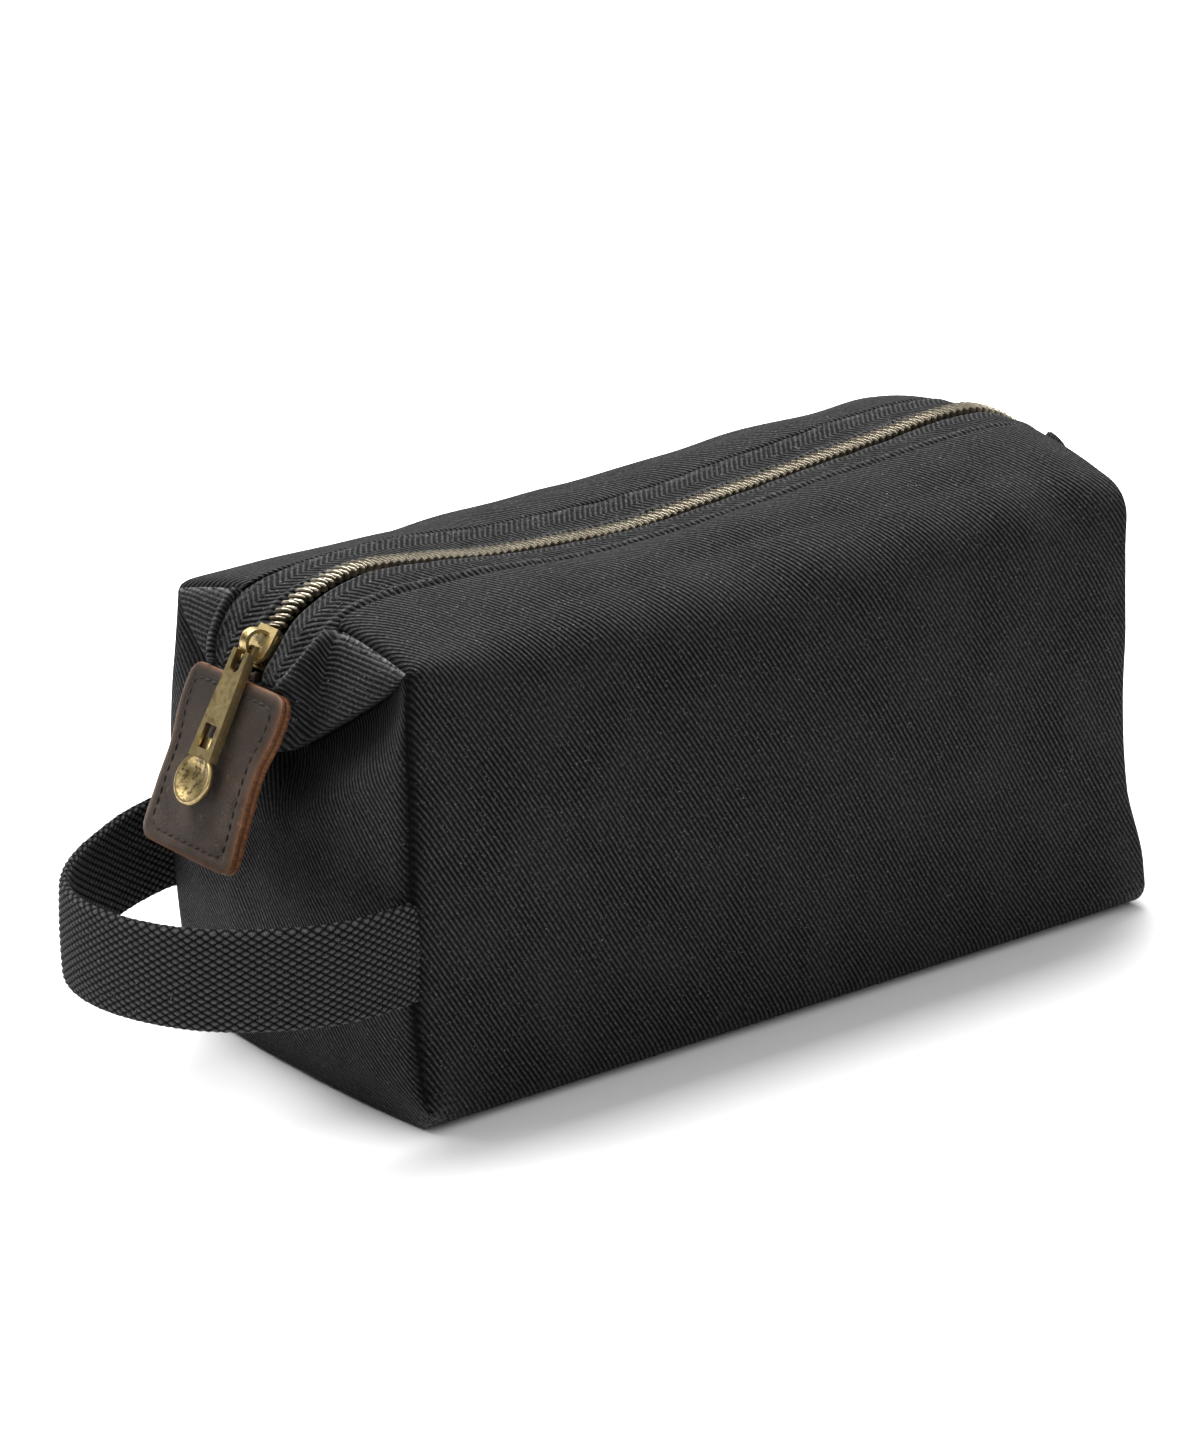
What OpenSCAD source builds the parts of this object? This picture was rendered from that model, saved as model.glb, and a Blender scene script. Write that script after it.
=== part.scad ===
// Shaving kit bag: a soft zipped wash bag of washed cotton twill, with a webbing
// carry strap at the zip-tab end, a metal zip and a leather pull tab.
// Frame: +X along the length (the strap end is at -X), -Y is the front face,
// +Z is up, and the origin is the centre of the base on the ground.

/* [Bag] */
// Length of the bag between the end seams at the base
bag_l = 264; // [200:1:320]
// Width of the bag across the base
bag_w = 110; // [80:1:140]
// Height of the near corners, where the end seams finish
corner_h = 131; // [100:1:160]
// Thickness of the twill shell
cloth_t = 1.4; // [0.8:0.1:2.5]
// Thickness of the lining
lining_t = 0.8; // [0.5:0.1:1.5]
// Height of the line that the top panels hinge on
shoulder_z = 116; // [100:1:125]
// Softness of the shoulder at mid-length
shoulder_r = 15; // [6:1:20]
// How far the strap end bulges out
near_bulge = 8; // [2:0.5:12]
// How far the plain end bulges out
far_bulge = 4; // [1:0.5:8]

/* [Zip] */
// Distance from one tooth to the next on one side
tooth_pitch = 2.54; // [2:0.01:3.5]
// Half of the visible width of the zip band
band_half = 19; // [12:0.5:24]
// Thickness of the zip tape
tape_t = 0.8; // [0.5:0.1:1.2]
// Angle of the slider at rest
slider_tilt = 48; // [20:1:60]
// Length of the slider
slider_l = 11; // [8:0.5:16]
// Width of the slider
slider_w = 9.6; // [7:0.2:12]

/* [Pull] */
// Length of the folded pull bar
pull_l = 36.5; // [24:0.5:45]
// Width of the pull bar at the slider
pull_w_top = 7; // [5:0.5:10]
// Width of the pull bar at its lower end
pull_w_low = 9.4; // [7:0.2:12]
// Diameter of the dished disc
disc_d = 12.6; // [9:0.2:18]
// Angle that the pull hangs at, from level
pull_slope = 61.5; // [55:0.5:90]

/* [Tab] */
// Length of the leather tab
tab_l = 50; // [35:1:65]
// Width of the leather tab
tab_w = 41; // [30:1:50]
// Thickness of one layer of leather
leather_t = 1.9; // [1.2:0.1:3]
// Angle that the tab hangs at, from level
tab_slope = 65; // [50:1:90]

/* [Strap] */
// Width of the strap webbing
web_w = 29; // [20:1:40]
// Thickness of the strap webbing
web_t = 2; // [1:0.1:3]
// Height of the strap's centre line
web_z = 53; // [30:1:80]

/* [Hidden] */
twill = [0.13, 0.13, 0.14];
tape_c = [0.22, 0.22, 0.23];
lining_c = [0.30, 0.30, 0.31];
brass = [0.62, 0.54, 0.34];
steel = [0.78, 0.78, 0.76];
leather = [0.38, 0.33, 0.30];
leather_back = [0.50, 0.31, 0.18];
thread = [0.16, 0.10, 0.07];
webbing = [0.18, 0.18, 0.19];

eps = 0.01;
gap = 0.4;

// centre line of the zip chain, from the tab end to the far end
zip_line = [[-148, 118.2], [-147.2, 121], [-143.5, 125.1], [-139.15, 129.93], [-130.6, 135.2],
  [-118, 139.6], [-105, 140.6], [-90, 138.2], [-71, 135.2], [-45, 133.2],
  [-20, 132.8], [5, 134.6], [32, 137], [62, 140.4], [92, 143.6], [110, 143.6],
  [122, 140.4], [131, 134.4]];

// ---- helpers ----

function lerp(a, b, t) = a + (b - a) * t;
function clamp(v, a, b) = min(max(v, a), b);
function ease(t) = let(c = clamp(t, 0, 1)) c * c * (3 - 2 * c);
function unit(v) = v / max(norm(v), 1e-9);

// a smooth curve through control points
function cat(a, b, c, d, t) = 0.5 * ((2 * b) + (c - a) * t
  + (2 * a - 5 * b + 4 * c - d) * t * t + (3 * b - a - 3 * c + d) * t * t * t);
function spline(p, steps) = let(n = len(p))
  [for (i = [0:n - 2]) for (k = [0:steps - 1])
    cat(p[max(i - 1, 0)], p[i], p[i + 1], p[min(i + 2, n - 1)], k / steps),
   p[n - 1]];
function along(p, i) = unit(p[min(i + 1, len(p) - 1)] - p[max(i - 1, 0)]);
function side2(p, i) = let(d = along(p, i)) [-d[1], d[0]];
function offset2(p, d) = [for (i = [0:len(p) - 1]) p[i] + side2(p, i) * d];
function run(p, i = 0) = i >= len(p) - 1 ? [0]
  : concat([0], [for (s = run(p, i + 1)) s + norm(p[i + 1] - p[i])]);
function find(s, v, i = 0) = i >= len(s) - 2 || s[i + 1] > v ? i : find(s, v, i + 1);
function at(p, s, v) = let(i = find(s, v)) lerp(p[i], p[i + 1],
  (v - s[i]) / max(s[i + 1] - s[i], 1e-9));
function slope_at(p, s, v) = let(i = find(s, v), d = p[i + 1] - p[i]) atan2(d[1], d[0]);

// a closed skin between two grids of points with the same rows and columns
module skin(a, b) {
  n = len(a);
  m = len(a[0]);
  pts = concat([for (r = a) each r], [for (r = b) each r]);
  function ia(i, j) = i * m + j;
  function ib(i, j) = n * m + i * m + j;
  faces = concat(
    [for (i = [0:n - 2]) for (j = [0:m - 2]) each [
      [ia(i, j), ia(i, j + 1), ia(i + 1, j + 1)], [ia(i, j), ia(i + 1, j + 1), ia(i + 1, j)],
      [ib(i, j), ib(i + 1, j + 1), ib(i, j + 1)], [ib(i, j), ib(i + 1, j), ib(i + 1, j + 1)]]],
    [for (i = [0:n - 2]) each [
      [ia(i, 0), ia(i + 1, 0), ib(i + 1, 0)], [ia(i, 0), ib(i + 1, 0), ib(i, 0)],
      [ia(i, m - 1), ib(i + 1, m - 1), ia(i + 1, m - 1)], [ia(i, m - 1), ib(i, m - 1), ib(i + 1, m - 1)]]],
    [for (j = [0:m - 2]) each [
      [ia(0, j), ib(0, j + 1), ia(0, j + 1)], [ia(0, j), ib(0, j), ib(0, j + 1)],
      [ia(n - 1, j), ia(n - 1, j + 1), ib(n - 1, j + 1)], [ia(n - 1, j), ib(n - 1, j + 1), ib(n - 1, j)]]]);
  polyhedron(points = pts, faces = faces, convexity = 8);
}

// ---- shape of the bag ----

half = bag_l / 2;
near_x = -half - 1;
function far_x(z) = half - 1 - 6 * ease(z / 70);
function wall_y(z) = bag_w / 2 - 2 * clamp(z / corner_h, 0, 1);
function corner_z(t) = corner_h + 5 * ease((t - 0.4) / 0.6);
function soft(t) = shoulder_r * (0.4 + 0.6 * sin(180 * clamp(t, 0, 1)));
function lip_z(t) = lerp(137.5, 143.5, ease(t)) - 2.4 * sin(180 * t);

// half cross-section from the hinge line to the edge of the zip band, y measured outwards
function top_curve(t, steps) = let(r = soft(t), k = [wall_y(corner_z(t)), corner_z(t)],
    e = [band_half + 2, lip_z(t)], a = [wall_y(shoulder_z), shoulder_z + gap / 2],
    a2 = [wall_y(k[1] - r), k[1] - r], b = k + unit(e - k) * r)
  concat([a], [for (i = [0:steps]) let(u = i / steps)
      a2 * (1 - u) * (1 - u) + k * 2 * u * (1 - u) + b * u * u + [0, u == 0 ? 0.1 : 0]],
    [for (i = [1:3]) lerp(b, e, i / 3) + [0, 1.2 * sin(180 * i / 3)]]);
// half cross-section from the middle of the base to the hinge line
function wall_curve(steps) = let(r = 8, w = bag_w / 2)
  concat([[0, 0], [w * 0.5, 0]],
    [for (i = [0:steps]) let(u = 90 * i / steps) [w - r + r * sin(u), r - r * cos(u)]],
    [for (z = [28, 50, 72, 94, shoulder_z - gap / 2]) [wall_y(z) + 0.3 * sin(180 * z / 130), z]]);
function inward(p, d) = [for (i = [0:len(p) - 1]) p[i] + side2(p, i) * d];

// turn a half cross-section into a row of points at station t, on side s (-1 front, 1 back)
function row(p, t, s, cut = 0) = [for (q = p)
  [lerp(near_x + 1 + cut, far_x(q[1]) - 0.6 - cut, t), s * q[0], q[1]]];
stations = [0, 0.04, 0.1, 0.2, 0.32, 0.44, 0.56, 0.68, 0.8, 0.9, 0.96, 1];

// the one cloth that makes the front wall, the base and the back wall
module body_panel() {
  p = wall_curve(6);
  q = inward(p, cloth_t);
  function whole(c) = concat([for (i = [len(c) - 1:-1:1]) [-c[i][0], c[i][1]]], [for (v = c) v]);
  a = [for (t = stations) row(whole(p), t, 1)];
  b = [for (t = stations) row(whole(q), t, 1)];
  color(twill) skin(b, a);
}

// barrel-shaped end wall, up to the folded corners
module end_wall(x0, bulge, dir, v_low, v_half, zs) {
  ys = [for (i = [-10:10]) i / 10 * (bag_w / 2 - 3.2)];
  function top(y) = v_low + (corner_h - 1 - v_low) * clamp((abs(y) - v_half) / (bag_w / 2 - 3.2 - v_half), 0, 1);
  function px(y, z, in) = dir * in + (dir < 0 ? x0 : far_x(z) + 0.6)
    + dir * bulge * (1 - pow(y / (bag_w / 2), 2)) * (0.35 + 0.65 * sin(clamp(z * 2.2, 0, 90)));
  a = [for (k = zs) [for (y = ys) let(z = lerp(1.6, top(y), k)) [px(y, z, 0), y, z]]];
  b = [for (k = zs) [for (y = ys) let(z = lerp(1.6, top(y), k)) [px(y, z, -cloth_t), y, z]]];
  if (dir < 0) skin(a, b);
  else skin(b, a);
}

module facet(pts) {
  hull() for (p = pts) translate(p) sphere(d = cloth_t, $fn = 10);
}

// strap end: the wall, and the folded corners that rise to the zip
module end_panel_near() {
  color(twill) {
    end_wall(near_x, near_bulge, -1, 87, 7.5, [0, 0.1, 0.3, 0.5, 0.7, 0.85, 1]);
    for (s = [-1, 1]) {
      a = [near_x - 1.4, s * 50.6, corner_h - 1.6];
      t1 = [-134.6, s * (band_half + 3), 134.4];
      t2 = [-147.6, s * 16.6, 120.6];
      c = [-141, s * 7, 87];
      facet([a, t1, t2]);
      facet([a, t2, c]);
    }
    facet([[-143.9, -11.5, 101], [-141, -7, 87], [-141, 7, 87], [-143.9, 11.5, 101]]);
  }
}

// plain end: the wall, with its corners folded up to the zip
module end_panel_far() {
  fx = far_x(corner_h);
  color(twill) {
    end_wall(0, far_bulge, 1, 96, 9, [0, 0.1, 0.3, 0.5, 0.7, 0.85, 1]);
    for (s = [-1, 1]) {
      a = [fx + 0.8, s * 50.6, corner_h - 1.6];
      t1 = [fx + 1.6, s * (band_half + 1.8), 139.6];
      t2 = [fx + 8.4, s * 16.6, 128.6];
      c = [fx + 4.2, s * 9, 96];
      facet([a, t1, t2]);
      facet([a, t2, c]);
    }
    facet([[fx + 8.4, -16.6, 128.6], [fx + 4.2, -9, 96], [fx + 4.2, 9, 96], [fx + 8.4, 16.6, 128.6]]);
  }
}

// the lining of the base, walls and ends: one open pocket
module lining() {
  p = inward(wall_curve(6), cloth_t + gap);
  q = inward(wall_curve(6), cloth_t + gap + lining_t);
  function whole(c) = concat([for (i = [len(c) - 1:-1:1]) [-c[i][0], c[i][1]]], [for (v = c) v]);
  function low(c) = [for (v = c) if (v[1] < shoulder_z - 2) v];
  function end_x(e, z, d) = e == 0 ? near_x + 3.6 + d : far_x(z) - 4.2 + d;
  g = [-48, -30, -10, 10, 30, 48];
  a = [for (t = [0:0.125:1]) row(low(whole(p)), t, 1, 3.4)];
  b = [for (t = [0:0.125:1]) row(low(whole(q)), t, 1, 3.4)];
  color(lining_c) {
    skin(b, a);
    for (e = [0, 1]) {
      c = [for (z = [3, 12, 40, 70, 90]) [for (y = g) [end_x(e, z, 0), y, z]]];
      d = [for (z = [3, 12, 40, 70, 90]) [for (y = g) [end_x(e, z, lining_t), y, z]]];
      skin(c, d);
    }
  }
}

module top_sheet(s, in, thick, cut) {
  a = [for (t = stations) row(inward(top_curve(t, 5), in), t, s, cut)];
  b = [for (t = stations) row(inward(top_curve(t, 5), in + thick), t, s, cut)];
  if (s > 0) skin(b, a);
  else skin(a, b);
}

// the cloth above each shoulder, up to the zip
module top_panel_front() {
  color(twill) top_sheet(-1, 0, cloth_t, 0.4);
}

module top_panel_back() {
  color(twill) top_sheet(1, 0, cloth_t, 0.4);
}

module top_lining_front() {
  color(lining_c) top_sheet(-1, cloth_t + 0.3, lining_t, 5);
}

module top_lining_back() {
  color(lining_c) top_sheet(1, cloth_t + 0.3, lining_t, 5);
}

// ---- zip ----

zip_path = spline(zip_line, 5);
zip_run = run(zip_path);
zip_from = 0;
lip_from = 19.4;
lip_to = zip_run[len(zip_run) - 1] - 20.5;
zip_to = zip_run[len(zip_run) - 1];

// a strip of tape on side s between two runs along the zip
module tape(s, from, to, y0, y1) {
  n = max(2, round((to - from) / 6));
  p = [for (i = [0:n]) at(zip_path, zip_run, lerp(from, to, i / n))];
  up = offset2(p, tape_t / 2);
  dn = offset2(p, -tape_t / 2);
  translate([0, s > 0 ? y1 : -y0, 0]) rotate([90, 0, 0]) linear_extrude(y1 - y0)
    polygon(concat(up, [for (i = [n:-1:0]) dn[i]]));
}

// metal teeth of side s between two runs, half a pitch apart from the other side's
module teeth(s, from, to) {
  k0 = ceil(from / tooth_pitch + 0.01);
  k1 = floor(to / tooth_pitch - 0.6);
  for (k = [k0:k1]) {
    v = (k + (s > 0 ? 0.5 : 0)) * tooth_pitch;
    c = at(zip_path, zip_run, v);
    translate([c[0], 0, c[1]]) rotate([0, -slope_at(zip_path, zip_run, v), 0])
      rotate([0, 90, 0]) linear_extrude(0.9, center = true)
        polygon([[-1.25, s * 2.9], [-1.25, s * 1.2], [-0.8, s * -0.9], [0.8, s * -0.9],
          [1.25, s * 1.2], [1.25, s * 2.9]]);
  }
}

module zip_tape_front() {
  color(tape_c) tape(-1, lip_from, lip_to, 3.2, band_half + 1.5);
}

module zip_tape_back() {
  color(tape_c) tape(1, lip_from, lip_to, 3.2, band_half + 1.5);
}

module zip_teeth_front() {
  color(brass) teeth(-1, lip_from, lip_to);
}

module zip_teeth_back() {
  color(brass) teeth(1, lip_from, lip_to);
}

// the part of the tape that is sewn down at the strap end
module zip_tape_near_end() {
  color(tape_c) for (s = [-1, 1]) tape(s, zip_from, lip_from - gap, 3.2, 15.4);
}

module zip_teeth_near_end() {
  color(brass) {
    teeth(-1, 12.6, lip_from - 0.9);
    teeth(1, 12.6, lip_from - 0.9);
  }
}

// small metal stops that keep the slider on the chain
module zip_top_stops() {
  color(brass) for (s = [-1, 1]) {
    v = 0.9 + 0.5 * s;
    c = at(zip_path, zip_run, v);
    translate([c[0], s * 1.9, c[1]]) rotate([0, -slope_at(zip_path, zip_run, v), 0])
      cube([2, 1.8, 2.2], center = true);
  }
}

module zip_tape_far_end() {
  color(tape_c) for (s = [-1, 1]) tape(s, lip_to + gap, zip_to, 3.2, 15.4);
}

module zip_teeth_far_end() {
  color(brass) {
    teeth(-1, lip_to + 0.9, zip_to - 4);
    teeth(1, lip_to + 0.9, zip_to - 4);
  }
}

module zip_bottom_stop() {
  c = at(zip_path, zip_run, zip_to - 1.8);
  color(brass) translate([c[0], 0, c[1]])
    rotate([0, -slope_at(zip_path, zip_run, zip_to - 1.8), 0]) cube([2.4, 5.6, 2.4], center = true);
}

// ---- slider ----

slider_at = [-143.5, 0, 125.1];
// hinge of the pull in the slider's own frame: along the chain, and out from it
eye_along = -2.2;
eye_out = 4.6;
pull_at = slider_at + [eye_along * cos(slider_tilt) - eye_out * sin(slider_tilt), 0,
  eye_along * sin(slider_tilt) + eye_out * cos(slider_tilt)];

module on_slider() {
  translate(slider_at) rotate([0, -slider_tilt, 0]) children();
}

// outline of the slider plates: a square mouth and two shoulders that narrow to a nose
module plate_outline(w, l) {
  polygon([[l / 2, -w * 0.4], [l / 2, w * 0.4], [0, w / 2], [-l * 0.3, w / 2], [-l / 2, w * 0.3],
    [-l / 2, -w * 0.3], [-l * 0.3, -w / 2], [0, -w / 2]]);
}

module slider_body() {
  color(brass) on_slider() {
    translate([0, 0, 1.65]) linear_extrude(1) plate_outline(slider_w, slider_l);
    translate([0, 0, -2.65]) linear_extrude(1) plate_outline(slider_w, slider_l);
    // edges turned in over the teeth
    for (s = [-1, 1]) {
      translate([slider_l * 0.05, s * (slider_w * 0.42), 1.35])
        cube([slider_l * 0.6, 1, 0.8], center = true);
      translate([slider_l * 0.05, s * (slider_w * 0.42), -1.35])
        cube([slider_l * 0.6, 1, 0.8], center = true);
    }
    // the post that parts the teeth
    translate([-slider_l / 2 + 1.5, 0, 0]) cylinder(d = 2, h = 4.2, center = true, $fn = 24);
  }
}

// arched bridge along the chain that holds the pull
module slider_crown() {
  w = 2.8;
  color(brass) on_slider() difference() {
    translate([-0.4, w / 2, 2.65]) rotate([90, 0, 0]) linear_extrude(w) intersection() {
      scale([1, 1.28]) circle(r = 4.2, $fn = 48);
      translate([-6, 0]) square([12, 8]);
    }
    translate([-0.4, w, 2.65]) rotate([90, 0, 0]) linear_extrude(2 * w) intersection() {
      scale([1, 1.25]) circle(r = 3.35, $fn = 40);
      translate([-6, -1]) square([12, 8]);
    }
  }
}

// sprung locking pin seen through the bridge
module slider_pawl() {
  color(steel) on_slider() translate([1.2, 0, 2.7 + eps]) rotate([90, 0, 0])
    linear_extrude(1.3, center = true)
      polygon([[-1, 0], [1.3, 0], [1.3, 1.5], [0.5, 2.3], [-0.6, 2.3], [-1, 1.5]]);
}

// ---- pull ----

module on_pull() {
  translate(pull_at) rotate([0, 180 - pull_slope, 0]) rotate([180, 0, 0]) children();
}

// bar folded from sheet: flat front, two side flanges, a slot for the bridge, a window
module pull_bar() {
  t = 0.9;
  top = 2.2;
  depth = 2.8;
  module outline(d) {
    polygon([[1.6 + d, -pull_w_top / 2 + d], [pull_l - 4, -pull_w_low / 2 + d],
      [pull_l - 4, pull_w_low / 2 - d], [1.6 + d, pull_w_top / 2 - d]]);
  }
  color(brass) on_pull() {
    difference() {
      translate([0, 0, top - depth]) linear_extrude(depth) outline(0);
      translate([0, 0, top - depth - t]) linear_extrude(depth) outline(t);
      translate([0, -1.9, -4]) cube([6, 3.8, 8]);
      translate([6, 0, -4]) cylinder(d = 3.8, h = 8, $fn = 24);
      translate([pull_l - 13.6, -2.5, -4]) cube([6.8, 5, 8]);
    }
    // two arms that close to a ring inside the bridge
    for (s = [-1, 1]) translate([-0.8, s * 2.75 - 0.75, -0.8]) cube([3.4, 1.5, 1.6]);
    rotate([90, 0, 0]) cylinder(d = 1.6, h = 7, center = true, $fn = 24);
  }
}

// tongue held inside the bar, which ends in a dished disc
module pull_tongue() {
  color(brass) on_pull() {
    translate([10.5, -2.4, -0.4]) cube([8, 4.8, 1.2]);
    translate([18.4, -1, -0.4]) cube([16, 2, 1.2]);
    difference() {
      translate([pull_l + 0.4, 0, -0.4]) cylinder(d = disc_d, h = 1.9, $fn = 48);
      translate([pull_l + 0.4, 0, 9.8]) sphere(d = 17.8, $fn = 64);
      translate([pull_l - 9, -10, -2]) cube([5.4, 20, 8]);
    }
  }
}

// ---- leather tab ----

module on_tab() {
  translate([-149.9, 1, 117.45]) rotate([0, 180 - tab_slope, 0]) rotate([180, 0, 0]) children();
}

// rounded outline, slightly waisted below its upper corners
module tab_outline(in) {
  offset(r = 4.6 - in, $fn = 24) offset(delta = -4.6)
    polygon([[0, -tab_w / 2 - 1], [10, -tab_w / 2 - 1], [19, -tab_w / 2 + 1.2],
      [tab_l, -tab_w / 2 - 0.2], [tab_l, tab_w / 2 + 0.2], [19, tab_w / 2 - 1.2],
      [10, tab_w / 2 + 1], [0, tab_w / 2 + 1]]);
}

module tab_outer_leather() {
  color(leather) on_tab() translate([0, 0, 0.1]) linear_extrude(leather_t) tab_outline(0);
}

module tab_inner_leather() {
  color(leather_back) on_tab() translate([0, 0, -leather_t - 0.1]) linear_extrude(leather_t) tab_outline(0);
}

// row of thread just proud of the outer leather
module tab_stitching() {
  color(thread) on_tab() translate([0, 0, leather_t + 0.1 + eps]) linear_extrude(0.35) difference() {
    tab_outline(3.6);
    tab_outline(4.1);
  }
}

// ---- strap ----

// plan of the loop, from the front seam round to the back seam
loop_plan = [[-137, -55.9], [-146, -56.2], [-160, -54.8], [-174, -49], [-186, -40], [-195, -28],
  [-200.4, -14], [-201.8, 0], [-200, 13], [-194, 25], [-183, 36], [-168, 45], [-153, 53.2], [-143, 56.5], [-137, 56.9]];

module strap_webbing() {
  p = spline(loop_plan, 4);
  a = offset2(p, web_t / 2);
  b = offset2(p, -web_t / 2);
  color(webbing) translate([0, 0, web_z - web_w / 2]) linear_extrude(web_w)
    polygon(concat(a, [for (i = [len(b) - 1:-1:0]) b[i]]));
}

// the ends of the strap, caught in the end seams
module strap_tails() {
  color(webbing) for (s = [-1, 1])
    translate([-134.4, s * 55.2, web_z]) cube([4, 1.2, web_w], center = true);
}

body_panel();
end_panel_near();
end_panel_far();
lining();
top_panel_front();
top_panel_back();
top_lining_front();
top_lining_back();
zip_tape_front();
zip_tape_back();
zip_teeth_front();
zip_teeth_back();
zip_tape_near_end();
zip_teeth_near_end();
zip_top_stops();
zip_tape_far_end();
zip_teeth_far_end();
zip_bottom_stop();
slider_body();
slider_crown();
slider_pawl();
pull_bar();
pull_tongue();
tab_outer_leather();
tab_inner_leather();
tab_stitching();
strap_webbing();
strap_tails();
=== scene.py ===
import math

import bpy
import numpy as np
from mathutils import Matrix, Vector


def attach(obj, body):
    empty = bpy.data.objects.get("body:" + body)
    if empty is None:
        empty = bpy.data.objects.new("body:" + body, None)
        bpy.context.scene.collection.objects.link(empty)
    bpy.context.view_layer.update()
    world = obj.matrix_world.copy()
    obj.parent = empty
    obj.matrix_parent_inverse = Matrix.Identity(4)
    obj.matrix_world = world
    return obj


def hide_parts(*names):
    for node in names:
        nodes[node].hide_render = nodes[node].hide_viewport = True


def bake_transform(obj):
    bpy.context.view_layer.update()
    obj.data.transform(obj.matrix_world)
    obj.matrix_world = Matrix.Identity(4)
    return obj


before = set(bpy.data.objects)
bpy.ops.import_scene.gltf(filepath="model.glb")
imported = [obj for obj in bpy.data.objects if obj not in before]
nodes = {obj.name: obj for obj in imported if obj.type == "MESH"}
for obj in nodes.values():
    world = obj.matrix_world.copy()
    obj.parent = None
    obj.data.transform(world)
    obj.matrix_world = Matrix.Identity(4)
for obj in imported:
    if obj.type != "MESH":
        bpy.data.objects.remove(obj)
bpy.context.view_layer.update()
scene = bpy.context.scene
MM = 0.001
SEED = 11
TURN = 6.2832       # radians in one turn, for weave phases
HALF_TURN = 3.1416


# ---------------------------------------------------------------- numbers

def ease(a, b, v):
    t = np.clip((np.asarray(v, float) - a) / (b - a), 0, 1)
    return t * t * (3 - 2 * t)


def through(xs, ys, at):
    """A smooth curve through knots, read at one or more places."""
    xs, ys = np.asarray(xs, float), np.asarray(ys, float)
    at = np.asarray(at, float)
    m = np.gradient(ys, xs, axis=0)
    i = np.clip(np.searchsorted(xs, at, side="right") - 1, 0, len(xs) - 2)
    h = xs[i + 1] - xs[i]
    t = np.clip((at - xs[i]) / h, 0, 1)
    if ys.ndim > 1:
        t, h = t[..., None], h[..., None]
    t2, t3 = t * t, t * t * t
    return ((2 * t3 - 3 * t2 + 1) * ys[i] + (t3 - 2 * t2 + t) * h * m[i]
            + (3 * t2 - 2 * t3) * ys[i + 1] + (t3 - t2) * h * m[i + 1])


def lumps(p, size, seed):
    """Smooth random swelling of about the given size, from -1 to 1."""
    r = np.random.default_rng(SEED + seed)
    out = np.zeros(p.shape[:-1])
    for _ in range(7):
        d = r.normal(size=3)
        d = d / np.linalg.norm(d) * 2 * math.pi / (size * r.uniform(0.7, 1.5))
        out = out + np.sin(p @ d + r.uniform(0, 6.283))
    return out / 7 ** 0.5 * 0.8


def run_of(p):
    return np.concatenate([[0], np.cumsum(np.linalg.norm(np.diff(p, axis=0), axis=1))])


def grid_normals(p):
    a = np.gradient(p, axis=0)
    b = np.gradient(p, axis=1)
    n = np.cross(a, b)
    return n / np.maximum(np.linalg.norm(n, axis=-1, keepdims=True), 1e-9)


# ---------------------------------------------------------------- meshes

def make(name, verts, faces, mats, fab=None, wear_and_shade=None, smooth=True, face_mat=None):
    me = bpy.data.meshes.new(name)
    me.from_pydata((np.asarray(verts) * MM).tolist(), [], [tuple(f) for f in faces])
    for m in mats:
        me.materials.append(m)
    if face_mat is not None:
        me.polygons.foreach_set("material_index", np.asarray(face_mat, np.int32))
    me.polygons.foreach_set("use_smooth", [smooth] * len(me.polygons))
    fab = np.asarray(verts, float) if fab is None else np.asarray(fab, float)
    me.attributes.new("fab", "FLOAT_VECTOR", "POINT").data.foreach_set("vector", fab.reshape(-1))
    wear_and_shade = np.zeros(len(verts)) if wear_and_shade is None else np.asarray(wear_and_shade, float)
    me.attributes.new("wear_and_shade", "FLOAT", "POINT").data.foreach_set("value", wear_and_shade.reshape(-1))
    me.validate()
    me.update()
    o = bpy.data.objects.new(name, me)
    scene.collection.objects.link(o)
    return o


def quads(n, m, base=0, flip=False, wrap=False):
    i, j = np.meshgrid(np.arange(n - 1), np.arange(m if wrap else m - 1), indexing="ij")
    k = (j + 1) % m
    f = np.stack([i * m + j, (i + 1) * m + j, (i + 1) * m + k, i * m + k], -1).reshape(-1, 4) + base
    return f[:, ::-1] if flip else f


def skin(name, outer, inner, mats, fab, wear_and_shade=None, flip=False, rim_mat=0):
    """A closed skin between two grids of the same size, the outer one facing out."""
    n, m = outer.shape[:2]
    k = n * m
    verts = np.concatenate([outer.reshape(-1, 3), inner.reshape(-1, 3)])
    parts = [quads(n, m, 0, flip), quads(n, m, k, not flip)]
    top, rim = [r * m for r in range(n)], []
    for a, b in zip(top[:-1], top[1:]):
        rim.append([a, a + k, b + k, b])
        rim.append([b + m - 1, b + m - 1 + k, a + m - 1 + k, a + m - 1])
    for j in range(m - 1):
        rim.append([j + 1, j + 1 + k, j + k, j])
        a = (n - 1) * m + j
        rim.append([a, a + k, a + 1 + k, a + 1])
    rim = np.asarray(rim)
    parts.append(rim[:, ::-1] if flip else rim)
    faces = np.concatenate(parts)
    index = [0] * (len(faces) - len(rim)) + [rim_mat] * len(rim)
    fab2 = np.concatenate([fab.reshape(-1, 3)] * 2)
    wear_and_shade2 = None if wear_and_shade is None else np.concatenate([wear_and_shade.reshape(-1)] * 2)
    return make(name, verts, faces, mats, fab2, wear_and_shade2, face_mat=index)


def tube_faces(base, rings, sides, flip=False):
    """Faces of a closed tube: rings of points that follow each other from base."""
    ring_at = [base + r * sides for r in range(rings)]
    f = [[a + j, a + (j + 1) % sides, b + (j + 1) % sides, b + j]
         for a, b in zip(ring_at[:-1], ring_at[1:]) for j in range(sides)]
    f.append([ring_at[0] + j for j in range(sides)][::-1])
    f.append([ring_at[-1] + j for j in range(sides)])
    return [g[::-1] for g in f] if flip else f


# ---------------------------------------------------------------- materials

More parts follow.
